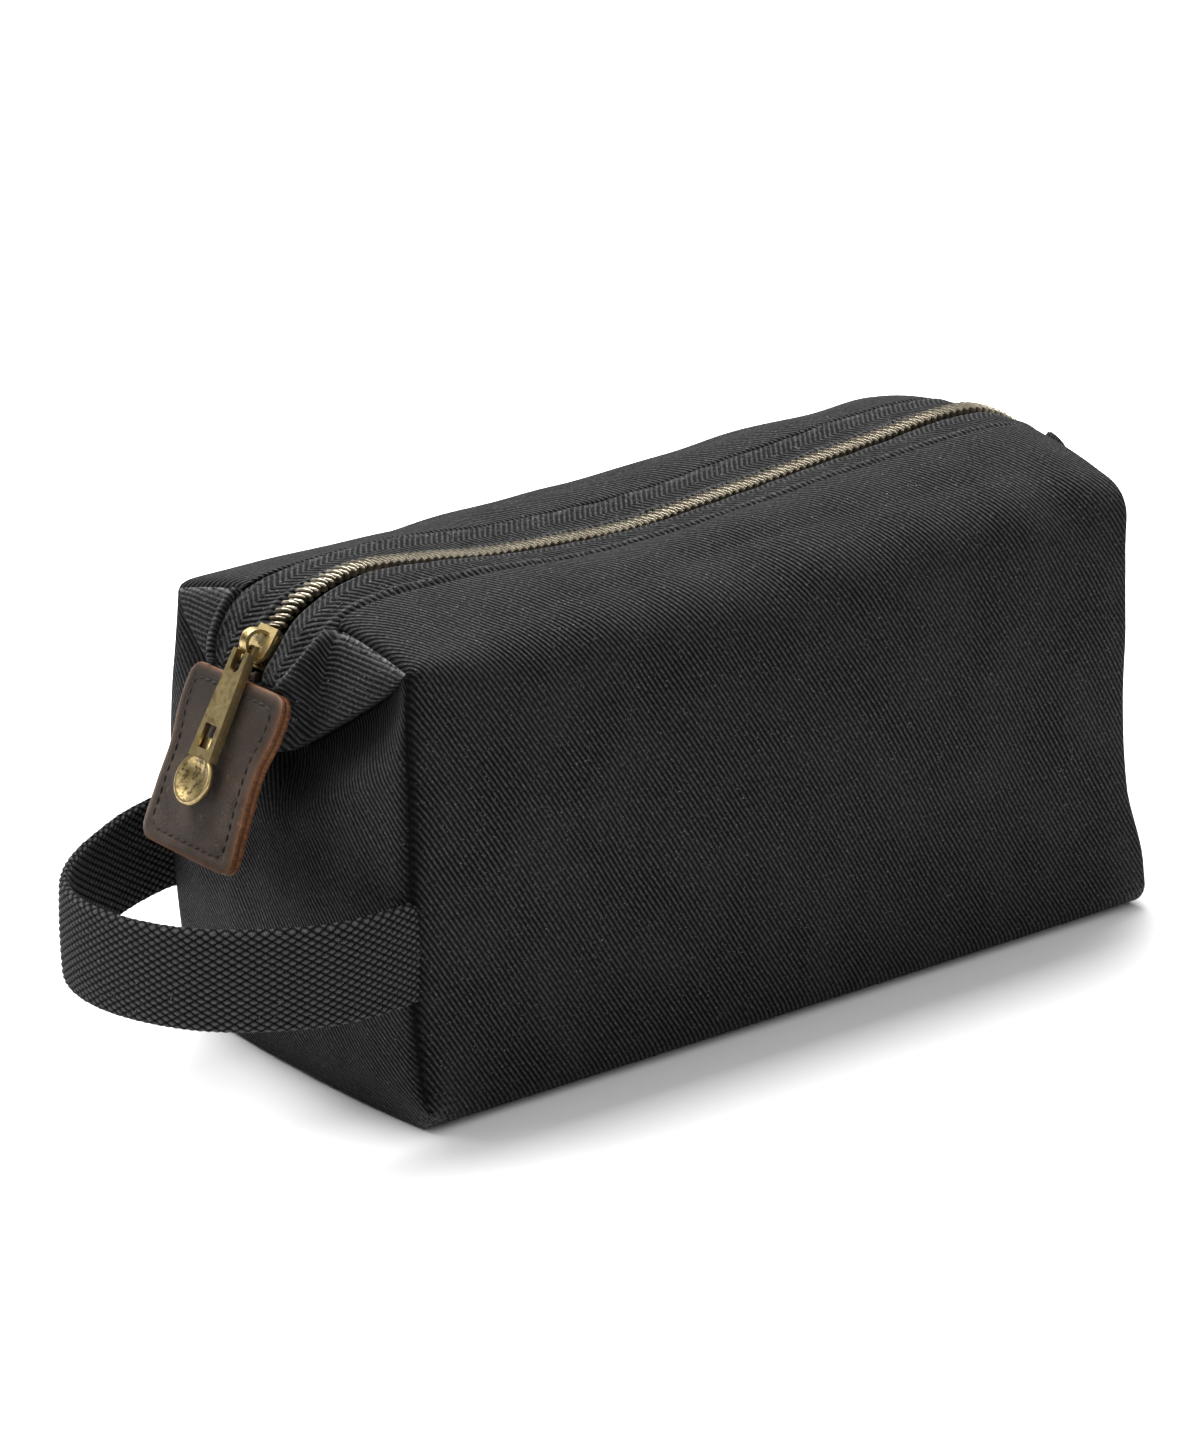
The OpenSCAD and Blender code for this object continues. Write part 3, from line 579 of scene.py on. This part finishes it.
def end_panel(name, end, node, mat):
    """end is 0 for the strap end and -1 for the plain end. Below the fold the panel is a
    bulging wall tucked in at its top; above it two facets rise to the zip."""
    out = -1.0 if end == 0 else 1.0
    s_front, s_back = shell[-1][end], shell[1][end]
    corner_row = FLOOR_PTS + EDGE_PTS + WALL_PTS + 8
    if end == 0:
        fold_z = [95, 98, 106, 115.3, 123, 131.5]
        fold_x = [-142.2, -141.6, -140.8, -139.4, -138, -135.6]
        mid = np.array([-148.4, 0, 116.6])
        bulge, s_top, s_end = 6.5, 4.0, 0.0
    else:
        fold_z = [93, 95, 103, 113, 123, 131.5]
        fold_x = [131.5, 131, 130, 128, 126.5, 124.6]
        mid = np.array([138.2, 0, 117])
        bulge, s_top, s_end = 4.5, 17.5, 21.0
    cs = np.concatenate([np.linspace(0, TAPE_AT, 9)[:-1],
                         np.linspace(TAPE_AT, TOP_SEAM_AT, 12)[:-1],
                         np.linspace(TOP_SEAM_AT, 1, 30)])
    cs = np.concatenate([-cs[:0:-1], cs])
    grid, fabs, wear_and_shade_rows = [], [], []
    for c in cs:
        side = -1 if c < 0 else 1
        col = s_front if c < 0 else s_back
        a = abs(c)
        seam = col[SEAM_SKIP:corner_row + 1]
        sr = run_of(seam)
        q = np.linspace(0, 1, LOW_PTS)
        sp = np.stack([np.interp(q * sr[-1], sr, seam[:, k]) for k in range(3)], -1)
        # lower wall, up to the fold
        top_z = float(np.interp(a * HALF_END, FOLD_Y, fold_z))
        top_z += (float(sp[-1, 2]) - fold_z[-1]) * a
        lz = sp[:, 2] * top_z / sp[-1, 2] + 0.6 * (1 - q) * (1 - a)
        ly = side * a * np.abs(sp[:, 1])
        xs = np.interp(lz, *(NEAR if end == 0 else FAR))
        xs = xs * (1 - a ** 6) + sp[:, 0] * a ** 6
        swell = 0.42 + 0.58 * np.sin(math.pi * np.clip(q * 0.92 + 0.04, 0, 1))
        swell = bulge * (1 - a ** 2.4) * swell
        tuck = 8.5 * ease(0.80, 1.0, q) * (1 - a ** 5)
        lx = xs + out * (swell - tuck)
        lower = np.stack([lx, ly, lz], -1)
        # the fold, turned back out over the wall
        fold_at = float(np.interp(a * HALF_END, FOLD_Y, fold_x))
        lip = np.array([fold_at, side * a * HALF_END, top_z])
        mask = 1 - a ** 8
        lip = lip * mask + sp[-1] * (1 - mask)
        deep = lower[-1] + np.array([-out * 1.2 * mask, 0, 1.6 * mask])
        # upper facet, to the zip or to the top seam
        if a >= TOP_SEAM_AT:
            up = col[corner_row:-3]
            f = (1 - a) / (1 - TOP_SEAM_AT)
            ur = run_of(up)
            u_pt = np.array([np.interp(f * ur[-1], ur, up[:, k]) for k in range(3)])
        elif a >= TAPE_AT:
            f = (TOP_SEAM_AT - a) / (TOP_SEAM_AT - TAPE_AT)
            u_pt = through(knot, EDGE[side], s_top + (s_end - s_top) * f)
            u_pt = u_pt + np.array([out * 0.7, side * 0.3, 0.9])
        else:
            f = 1 - a / TAPE_AT
            e0 = through(knot, EDGE[side], s_end)
            u_pt = e0 * (1 - f) + mid * f
        r = np.linspace(0, 1, FACE_PTS)
        face = lip + (u_pt - lip) * r[:, None]
        puff = 1.1 * np.sin(math.pi * r ** 0.9) * (1 - a ** 3) * ease(0.0, 0.3, a)
        puff = puff + 0.8 * (1 - r) * mask
        face = face + np.array([out * 0.86, side * 0.25, 0.25]) * puff[:, None]
        roll = lip + np.array([-out * 1.6, 0, -0.2]) * mask
        line = np.concatenate([lower, deep[None], roll[None], face])
        grid.append(line)
        low_fab = np.stack([ly, lz, 0 * lz], -1)
        zz = 0.75 * face[:, 2] - 0.66 * out * face[:, 0]
        hi_fab = np.stack([0.754 * zz + 0.657 * face[:, 1], -0.657 * zz + 0.754 * face[:, 1],
                           0 * zz + 60], -1)
        fabs.append(np.concatenate([low_fab, low_fab[-1:], hi_fab[:1], hi_fab]))
        seam_d = (1 - a) * HALF_END
        wear_and_shade_low = 0.08 * np.exp(-seam_d / 1.5) + 0.7 * np.exp(-seam_d / 6) * np.exp(-lz / 9)
        d_top = np.linalg.norm(face - u_pt, axis=1)
        wear_hi = (0.75 if a > TOP_SEAM_AT else 0.15) * np.exp(-d_top / 1.3)
        # painted shade: a dark line in the seam's groove and under the fold's overhang; the fold's
        # two crease points get painted shade too
        wear_and_shade_low = wear_and_shade_low - 1.3 * np.exp(-seam_d / 1.2) * ease(3, 10, lz)
        wear_and_shade_low = wear_and_shade_low - ease(0.76, 0.97, q) * (1 - a ** 6)
        wear_and_shade_rows.append(np.concatenate([wear_and_shade_low, [-0.9, -0.6], wear_hi]))
    p = np.array(grid)
    f0 = LOW_PTS + 3            # the facet's first free point
    for _ in range(14):
        p[1:-1, f0:-1] = (p[:-2, f0:-1] + p[2:, f0:-1] + p[1:-1, f0 - 1:-2] + p[1:-1, f0 + 1:]
                          + 2 * p[1:-1, f0:-1]) / 6
    n = grid_normals(p)
    flip = end != 0
    if flip:
        n = -n
    if np.mean(n[:, 5, 0]) * out < 0:
        n, flip = -n, not flip
    aa = np.abs(cs)[:, None]
    welt = 1 - np.exp(-(1 - aa) * HALF_END / 1.3)
    low = p[:, :LOW_PTS]
    low[:, :, 0] = low[:, :, 0] + out * 1.5 * welt * ease(2, 14, low[:, :, 2])
    up_low, up_face = np.linspace(0, 1, LOW_PTS), np.linspace(0, 1, FACE_PTS)
    soft = np.concatenate([ease(0, 0.25, up_low) * (1 - ease(0.8, 1, up_low)), [0, 0],
                           np.sin(math.pi * up_face)])
    soft = (1 - aa ** 5) * soft[None]
    p = p + n * (soft * (1.1 * lumps(p, 42, 21 + end) + 0.5 * lumps(p, 19, 25 + end)))[..., None]
    n2 = grid_normals(p)
    n2 = n2 if np.mean(n2[:, 5, 0]) * out > 0 else -n2
    inner = p - n2 * 1.3
    fold = slice(LOW_PTS - 1, LOW_PTS + 3)
    inner[:, fold] = p[:, fold] - np.array([out * 0.9, 0, 0])
    o = skin(name, p, inner, [mat], np.array(fabs), np.array(wear_and_shade_rows), flip=not flip)
    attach(o, "bag")
    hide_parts(node)
    # lining of this end
    wall = p[4:-4, 2:30]
    lin = skin(name.replace("end_", "lining_end_"), wall - np.array([out * 2.2, 0, 0]),
               wall - np.array([out * 2.9, 0, 0]), [lining_mat], np.array(fabs)[4:-4, 2:30],
               flip=not flip)
    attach(lin, "bag")


end_panel("end_near", 0, "end_panel_near", twill_end)
end_panel("end_far", -1, "end_panel_far", twill_end)


# ---------------------------------------------------------------- zip tapes and teeth

TAPE_COLS = 40
TAPE_IN = 3.3                   # the tape's inner edge, from the zip's middle
STITCH_IN, STITCH_OUT = 6.3, 2.2  # its two stitched ridges: from the middle, from the seam
TAPE_MID = 11.5                 # where the herringbone turns
total = chain_run[-1]


def ridge(at, width=0.75):
    return np.exp(-(at / width) ** 2)


for side, word in ((-1, "front"), (1, "back")):
    run = np.linspace(0.4, total - 0.4, 300)
    s, c, d, nrm = chain_at(run)
    e = through(knot, EDGE[side], s)
    crest = through([0, 3, 6, 10, 14, 17, 21], [0.8, 1.5, 2.3, 2.6, 2.2, 1.4, 0.8], s)
    crest = crest * (1 if side < 0 else 0.4)
    tuck_in = 0.7 + 2.3 * ease(4.2, 6.5, s) * (1 - ease(15.5, 17.4, s))
    sink = 1.0 * (1 - ease(3.6, 6.5, s) * (1 - ease(15.5, 17.8, s)))
    P = []
    edge_y = np.abs(e[:, 1])
    for k in np.linspace(0, 1, TAPE_COLS):
        y = TAPE_IN + (edge_y + tuck_in - TAPE_IN) * k
        f = np.clip((y - TAPE_IN) / (edge_y - TAPE_IN), 0, 1.12)
        base = c * (1 - f[:, None]) + e * f[:, None]
        base[:, 1] = side * y
        hump = crest * np.sin(math.pi * np.clip(f, 0, 1)) ** 0.75
        rib = 0.55 * ridge(y - STITCH_IN) + 0.55 * ridge(y - (edge_y - STITCH_OUT))
        rib = rib + 0.35 * ridge(y - TAPE_IN, 0.7)
        drop = -1.9 * ease(0.98, 1.08, f) - sink * ease(0.5, 0.95, f)
        drop = drop - 0.7 * (1 - ease(0.0, 0.14, f))
        P.append(base + nrm * (hump - 0.5 + rib + drop)[:, None])
    P = np.array(P).transpose(1, 0, 2)
    n = grid_normals(P)
    n = n if np.mean(n[:, 20, 2]) > 0 else -n
    wave = 0.12 * np.sin(run / 9.0 + side)[:, None] + 0.15 * lumps(P, 16, 40 + side)
    P = P + n * wave[..., None]
    v = np.abs(P[:, :, 1])
    fab = np.stack([np.repeat(run[:, None], TAPE_COLS, 1),
                    np.abs(v - TAPE_MID) + 0.35 * (v > TAPE_MID), 0 * v + 90 + side], -1)
    wear_and_shade = 0.25 * ridge(v - STITCH_IN, 0.6) + 0.25 * ridge(v - 17, 0.6)
    flip = np.cross(P[100, 20] - P[99, 20], P[100, 21] - P[100, 20])[2] < 0
    o = skin("tape_" + word, P, P - n * 0.8, [tape_mat], fab, wear_and_shade, flip=not flip)
    set_blend(o)
    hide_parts("zip_tape_" + word)
    if side < 0:
        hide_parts("zip_tape_near_end")
    else:
        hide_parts("zip_tape_far_end")

PITCH = 2.54
SLIDER_RUN = float(np.interp(-143.5, chain_fine[:200, 0], chain_run[:200]))
FIRST_TOOTH, LAST_GAP = 5.2, 9  # from the slider, and from the chain's far end
TOOTH_LEAN, TOOTH_LIFT = 0.5, 0.9
# sections of a tooth from its foot to its head: distance out, half length, half height
TOOTH = ((3.4, 0.30, 0.7), (2.8, 0.34, 1.15), (0.6, 0.34, 1.4), (-1.2, 0.32, 1.2),
         (-2.2, 0.20, 0.6))
TOOTH_RING = ((-1, -1), (-1, 0.6), (-0.55, 1), (0.55, 1), (1, 0.6), (1, -1))
for side, word in ((-1, "front"), (1, "back")):
    V, Fc, weights = [], [], []
    first = SLIDER_RUN + FIRST_TOOTH
    k = 0
    while True:
        v = first + (k + (0.5 if side > 0 else 0)) * PITCH
        if v > total - LAST_GAP:
            break
        s, c, d, nrm = chain_at(np.array([v]))
        c, d, nrm = c[0], d[0], nrm[0]
        yv = np.array([0, side, 0])
        Fc += tube_faces(len(V), len(TOOTH), len(TOOTH_RING), flip=side > 0)
        for yy, hw, hh in TOOTH:
            slant = side * TOOTH_LEAN * (1.0 - yy) * 0.6
            for a_, h_ in TOOTH_RING:
                V.append(c + yv * yy + d * (a_ * hw + slant) + nrm * (h_ * hh + TOOTH_LIFT))
                weights.append(float(mouth(c[0])))
        k += 1
    o = make("teeth_" + word, V, Fc, [tooth_brass], smooth=False)
    set_blend(o)
    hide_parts("zip_teeth_" + word)
    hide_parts("zip_teeth_near_end" if side < 0 else "zip_teeth_far_end")


# ---------------------------------------------------------------- strap

PATH = [(-132.5, -54.6), (-136, -55.2), (-142, -56.0), (-150, -56.4), (-159, -55.6), (-166, -53.4),
        (-172.5, -50), (-183, -42.5), (-191.5, -33), (-198, -20), (-201.2, -6), (-200.8, 8),
        (-197, 20), (-190, 29), (-181, 36.5), (-170, 43.2), (-158, 49.8), (-147, 54.0),
        (-140, 55.9), (-136, 56.0), (-132.5, 55.4)]
WEB_W, WEB_T, WEB_Z = 29.0, 2.1, 53.0
pts = np.array(PATH, float)
kr = run_of(pts)
runs = np.arange(0, kr[-1], 0.5)
line = through(kr, pts, runs)
for _ in range(10):
    line[1:-1] = (line[:-2] + 2 * line[1:-1] + line[2:]) / 4
tang = np.gradient(line, axis=0)
tang /= np.linalg.norm(tang, axis=1, keepdims=True)
nout = np.stack([-tang[:, 1], tang[:, 0]], -1)
if np.mean(nout[len(nout) // 2:len(nout) // 2 + 3, 0]) > 0:
    nout = -nout
half = WEB_W / 2
ac = np.linspace(-1, 1, 59) * half
edge_r = WEB_T / 2
SELVEDGE = 0.9                  # width of the webbing's rounded edge
thick_at = edge_r * (1 - np.clip((np.abs(ac) - (half - SELVEDGE)) / SELVEDGE, 0, 1) ** 2) ** 0.5
thick_at = np.maximum(thick_at, 0.15)
ring = np.array(list(zip(ac, thick_at)) + list(zip(ac[::-1], -thick_at[::-1])))
U, A = np.meshgrid(runs, ring[:, 0], indexing="ij")
Hh = np.repeat(ring[None, :, 1], len(runs), 0)
weave = np.abs(np.sin(math.pi * (U / WEB_SX + A / WEB_SY))
               * np.sin(math.pi * (U / WEB_SX - A / WEB_SY)))
pebble = 0.75 * weave ** 0.7 * np.clip((half + 0.2 - np.abs(A)) / 1.5, 0.15, 1)
Hh = Hh + np.sign(Hh) * (pebble - 0.2)
# the loop sags a little and leans; its edges wave slightly
s01 = U / runs[-1]
zc = WEB_Z - 2.2 * np.exp(-((s01 - 0.62) / 0.17) ** 2) + 0.35 * np.sin(U / 17)
cup = 0.5 * (A / half) ** 2
Z = zc + A + 0.12 * np.sin(U * 2.7) * np.sign(A) * (np.abs(A) > half - 0.6)
off = Hh - cup
X = line[:, 0][:, None] + nout[:, 0][:, None] * off
Y = line[:, 1][:, None] + nout[:, 1][:, None] * off
P = np.stack([X, Y, Z], -1)
nr, mr = P.shape[:2]
f = quads(nr, mr, 0, False, wrap=True)
caps = [list(range(mr))[::-1], [(nr - 1) * mr + j for j in range(mr)]]
faces = [list(q) for q in f] + caps
fab = np.stack([U, A, np.sign(Hh) * 5], -1)
cen = P[nr // 2].mean(0)
q0 = P.reshape(-1, 3)[f[len(f) // 2 + 20]]
nn = np.cross(q0[1] - q0[0], q0[2] - q0[0])
if np.dot(nn, q0.mean(0) - cen) < 0:
    faces = [g[::-1] for g in faces]
strap = make("strap", P.reshape(-1, 3), faces, [web_mat], fab.reshape(-1, 3))
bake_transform(strap)
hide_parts("strap_webbing", "strap_tails")


# ---------------------------------------------------------------- leather tab

TAB_AT = np.array([-149.9, 1.0, 117.45])
slope = math.radians(65)
TAB_X = np.array([-math.cos(slope), 0, -math.sin(slope)])
TAB_Z = np.array([-math.sin(slope), 0, math.cos(slope)])
TAB_Y = np.cross(TAB_Z, TAB_X)
TAB_L, TAB_W, LAYER, R_C = 50.0, 41.0, 1.9, 4.6


def tab_half(x):
    """Half the tab's width at x, with its rounded corners and slight waist."""
    w = TAB_W / 2 + through([0, 11, 21, 34, 50], [0.6, 0.9, -0.9, -0.5, 0.3], x)
    d = np.minimum(x, TAB_L - x)
    c = np.clip(R_C - d, 0, R_C)
    return w - (R_C - np.sqrt(np.maximum(R_C ** 2 - c ** 2, 0)))


def tab_world(x, y, z):
    """Local tab coordinates to the frame, with the tab's slight curl."""
    k = x / TAB_L
    curl = -0.9 * k ** 2 + 0.5 * np.sin(math.pi * k) - 0.9 * (y / 20) ** 2 * (0.4 + 0.6 * k)
    return TAB_AT + x[..., None] * TAB_X + y[..., None] * TAB_Y + (z + curl)[..., None] * TAB_Z


xs = np.concatenate([R_C * (1 - np.cos(np.linspace(0, math.pi / 2, 9)))[:-1],
                     np.linspace(R_C, TAB_L - R_C, 46),
                     TAB_L - R_C * (1 - np.sin(np.linspace(0, math.pi / 2, 9)))[1:]])
us = np.sin(np.linspace(-math.pi / 2, math.pi / 2, 49))
INSET = 3.8                     # of the stitch line and its groove, from the tab's edge
HALF_GAP = 0.06                 # half the gap between the layers
for nm, z0, z1, mat, node_name in (
        ("tab_outer", HALF_GAP, HALF_GAP + LAYER, leather, "tab_outer_leather"),
        ("tab_inner", -HALF_GAP - LAYER, -HALF_GAP, leather_back, "tab_inner_leather")):
    XX, UU = np.meshgrid(xs, us, indexing="ij")
    YY = UU * tab_half(XX)
    rough_edge = 0.16 * lumps(np.stack([XX, YY, 0 * XX + z0 * 9], -1), 3.1, 60)
    rough_edge = rough_edge * (np.abs(UU) > 0.97)
    YY = YY + rough_edge * np.sign(YY)
    to_edge = np.minimum(np.minimum(tab_half(XX) - np.abs(YY), XX), TAB_L - XX)
    groove = -0.22 * np.exp(-((to_edge - INSET) / 0.55) ** 2)
    soften = -0.35 * np.exp(-np.maximum(to_edge, 0) / 0.45)
    puffy = 0.18 * ease(0.3, 2.2, to_edge) * (1 - ease(2.2, INSET, to_edge))
    loc = np.stack([XX, YY, 0 * XX], -1)
    lump = 0.12 * lumps(loc, 14, 61)
    hi = z1 + (groove + soften + puffy + lump if z1 > 1 else 0 * XX)
    lo = z0 - (0 if z1 > 1 else 1) * (soften + 0.1 * lump)
    top = tab_world(XX, YY, hi)
    bot = tab_world(XX, YY, lo)
    worn = np.exp(-np.maximum(to_edge, 0) / 0.6) * 0.9
    fab = np.stack([XX, YY, hi * 0 + z0], -1)
    test = np.cross(top[20, 20] - top[19, 20], top[20, 21] - top[20, 20])
    o = skin(nm, top, bot, [mat, edge_mat], fab, worn, flip=np.dot(test, TAB_Z) < 0, rim_mat=1)
    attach(o, "tab")
    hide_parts(node_name)

# stitches, one by one, on a line set in from the edge
STITCH = 3.05                   # length of one, with its gap
STITCH_RINGS, STITCH_SIDES = 7, 8
side_x = np.linspace(INSET + 0.8, TAB_L - INSET - 2.0, 60)
across = TAB_W / 2 - INSET
right = np.stack([side_x, tab_half(side_x) - INSET], -1)
bottom = np.stack([np.full(40, TAB_L - INSET), np.linspace(across - 1.5, 1.5 - across, 40)], -1)
left = np.stack([side_x[::-1], -(tab_half(side_x[::-1]) - INSET)], -1)
topl = np.stack([np.full(40, INSET), np.linspace(1.0 - across, across - 1.0, 40)], -1)
loop = np.concatenate([right, bottom, left, topl, right[:1]])
lr = run_of(loop)
even = np.stack([np.interp(np.arange(0, lr[-1], 0.5), lr, loop[:, k]) for k in range(2)], -1)
for _ in range(6):
    even = (np.roll(even, 1, 0) + 2 * even + np.roll(even, -1, 0)) / 4
loop = np.concatenate([even, even[:1]])
er = run_of(loop)
count = int(er[-1] / STITCH)
V, Fc, Fb = [], [], []
for i in range(count):
    a, b = (np.array([np.interp(er[-1] * (i + w) / count, er, loop[:, k]) for k in range(2)])
            for w in (0.14, 0.86))
    dd = (b - a) / np.linalg.norm(b - a)
    side_d = np.array([-dd[1], dd[0]])
    tilt = side_d * 0.12
    Fc += tube_faces(len(V), STITCH_RINGS, STITCH_SIDES)
    for w in np.linspace(0, 1, STITCH_RINGS):
        c = a - tilt + (b - a + 2 * tilt) * w
        rise = 0.34 * math.sin(math.pi * w) ** 0.6 - 0.14
        rad = 0.33 * (0.55 + 0.45 * math.sin(math.pi * w))
        for ang in np.linspace(0, 2 * math.pi, STITCH_SIDES, endpoint=False):
            q = c + side_d * rad * math.cos(ang)
            up = LAYER - 0.08 + rise + rad * 0.8 * math.sin(ang)
            V.append(tab_world(np.array(q[0]), np.array(q[1]), np.array(up)))
            Fb.append([w * 2.2 + i * 3, ang, 0])
st = make("tab_stitches", np.array(V), Fc, [thread_mat], np.array(Fb))
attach(st, "tab")
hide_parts("tab_stitching")


# ---------------------------------------------------------------- slider, pull and stops

def dress(node_name, mat, bevel=0.0):
    o = nodes[node_name]
    for s_ in o.material_slots:
        s_.link = "OBJECT"
        s_.material = mat
    if bevel:
        m = o.modifiers.new("edges", "BEVEL")
        m.width = bevel * MM
        m.segments = 3
        m.limit_method = "ANGLE"
        m.angle_limit = math.radians(35)
        m.harden_normals = False


for name_ in ("slider_body", "slider_crown", "pull_bar"):
    dress(name_, brass, 0.22)

# the tongue's dished disc, with its rolled rim, and the neck that goes into the bar
PULL_AT = np.array([-148.39055, 0.0, 126.54308])
pull_slope = math.radians(61.5)
PULL_X = np.array([-math.cos(pull_slope), 0, -math.sin(pull_slope)])
PULL_Y = np.array([0.0, -1.0, 0.0])
PULL_Z = np.array([-math.sin(pull_slope), 0, math.cos(pull_slope)])
DISC_AT = 38.2                  # its centre, from the pull's pivot
# radius and height, from the dish over the rim to the middle of the back
profile = [(0.0, 0.35), (1.7, 0.45), (3.4, 0.75), (4.8, 1.2), (5.8, 1.7), (6.4, 1.95), (6.9, 1.85),
           (7.2, 1.4), (7.2, 0.3), (6.8, -0.1), (5.0, -0.4), (2.7, -0.5), (0.0, -0.5)]
NECK = ((26.5, 2.3), (30.0, 2.3), (33.0, 3.2))  # distance along the pull, half width
NECK_RING = ((-1, -0.45), (1, -0.45), (1, 0.45), (-1, 0.45))
turns = 56


def on_pull(x, y, z):
    return PULL_AT + PULL_X * x + PULL_Y * y + PULL_Z * z


V, Fc = [], []
for r_, h_ in profile:
    for j in range(turns):
        w_ = 2 * math.pi * j / turns
        V.append(on_pull(DISC_AT + r_ * math.cos(w_), r_ * math.sin(w_), h_))
for r_ in range(len(profile) - 1):
    for j in range(turns):
        k = (j + 1) % turns
        a, b = r_ * turns, (r_ + 1) * turns
        if r_ == 0:
            Fc.append([a + j, b + j, b + k])
        elif r_ == len(profile) - 2:
            Fc.append([a + j, b + j, a + k])
        else:
            Fc.append([a + j, b + j, b + k, a + k])
Fc += tube_faces(len(V), len(NECK), len(NECK_RING))
for x_, hw_ in NECK:
    for y_, z_ in NECK_RING:
        V.append(on_pull(x_, hw_ * y_, z_))
disc = make("pull_spoon", V, Fc, [brass])
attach(disc, "pull")
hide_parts("pull_tongue")
dress("slider_pawl", steel, 0.12)
for name_ in ("zip_top_stops", "zip_bottom_stop"):
    dress(name_, tooth_brass, 0.2)


# ---------------------------------------------------------------- floor, light, camera

floor_mat = Paint("pale_floor")
pos = floor_mat.add("ShaderNodeTexCoord").outputs["Object"]
tone = floor_mat.ramp(floor_mat.noise(pos, 1.3, 2), [(0.3, 0.86), (0.7, 0.88)])
floor_mat.finish(tone, Roughness=0.9, Specular_IOR_Level=0.1)
FLOOR_Z = -0.3
floor_at = [[-6000, -6000, FLOOR_Z], [6000, -6000, FLOOR_Z], [6000, 9000, FLOOR_Z],
            [-6000, 9000, FLOOR_Z]]
floor = make("floor", np.array(floor_at), [[0, 1, 2, 3]], [floor_mat.mat], smooth=False)


def area_light(name, at, to, size, power):
    d = bpy.data.lights.new(name, "AREA")
    d.shape = "RECTANGLE"
    d.size, d.size_y = size
    d.energy = power
    o = bpy.data.objects.new(name, d)
    o.location = at
    o.rotation_euler = (Vector(to) - Vector(at)).to_track_quat("-Z", "Y").to_euler()
    scene.collection.objects.link(o)
    return o


area_light("key_back_top", (0.0, 0.60, 1.35), (0, 0.05, 0.08), (1.6, 1.0), 66)
area_light("left_soft", (-1.3, -0.15, 0.75), (-0.12, 0, 0.07), (0.8, 0.9), 2.5)
area_light("front_soft", (0.5, -1.6, 0.8), (0.0, 0, 0.06), (1.2, 0.8), 3)

world = bpy.data.worlds.new("studio")
scene.world = world
world.use_nodes = True
wt = world.node_tree
up = wt.nodes.new("ShaderNodeSeparateXYZ")
wt.links.new(wt.nodes.new("ShaderNodeTexCoord").outputs["Generated"], up.inputs[0])
sky = wt.nodes.new("ShaderNodeValToRGB")
# dim near the horizon and bright overhead
for stop, place, grey in zip(sky.color_ramp.elements, (0.25, 0.85), (0.05, 1.0)):
    stop.position, stop.color = place, (grey, grey, grey, 1)
wt.links.new(up.outputs[2], sky.inputs[0])
wt.links.new(sky.outputs[0], wt.nodes["Background"].inputs[0])
wt.nodes["Background"].inputs[1].default_value = 0.9
scene.view_settings.view_transform = "Standard"

cam_data = bpy.data.cameras.new("camera")
cam_data.lens = 125
cam_data.sensor_width = 36
cam_data.clip_end = 50
cam = bpy.data.objects.new("camera", cam_data)
scene.collection.objects.link(cam)
az, el = math.radians(-38.8), math.radians(19.89)  # fitted to the photo's view
back = Vector((math.sin(az) * math.cos(el), -math.cos(az) * math.cos(el), math.sin(el)))
aim = Vector((0.0004, 0.0364, 0.0618))
cam.location = aim + back * 1.4654
cam.rotation_euler = (-back).to_track_quat("-Z", "Y").to_euler()
scene.camera = cam
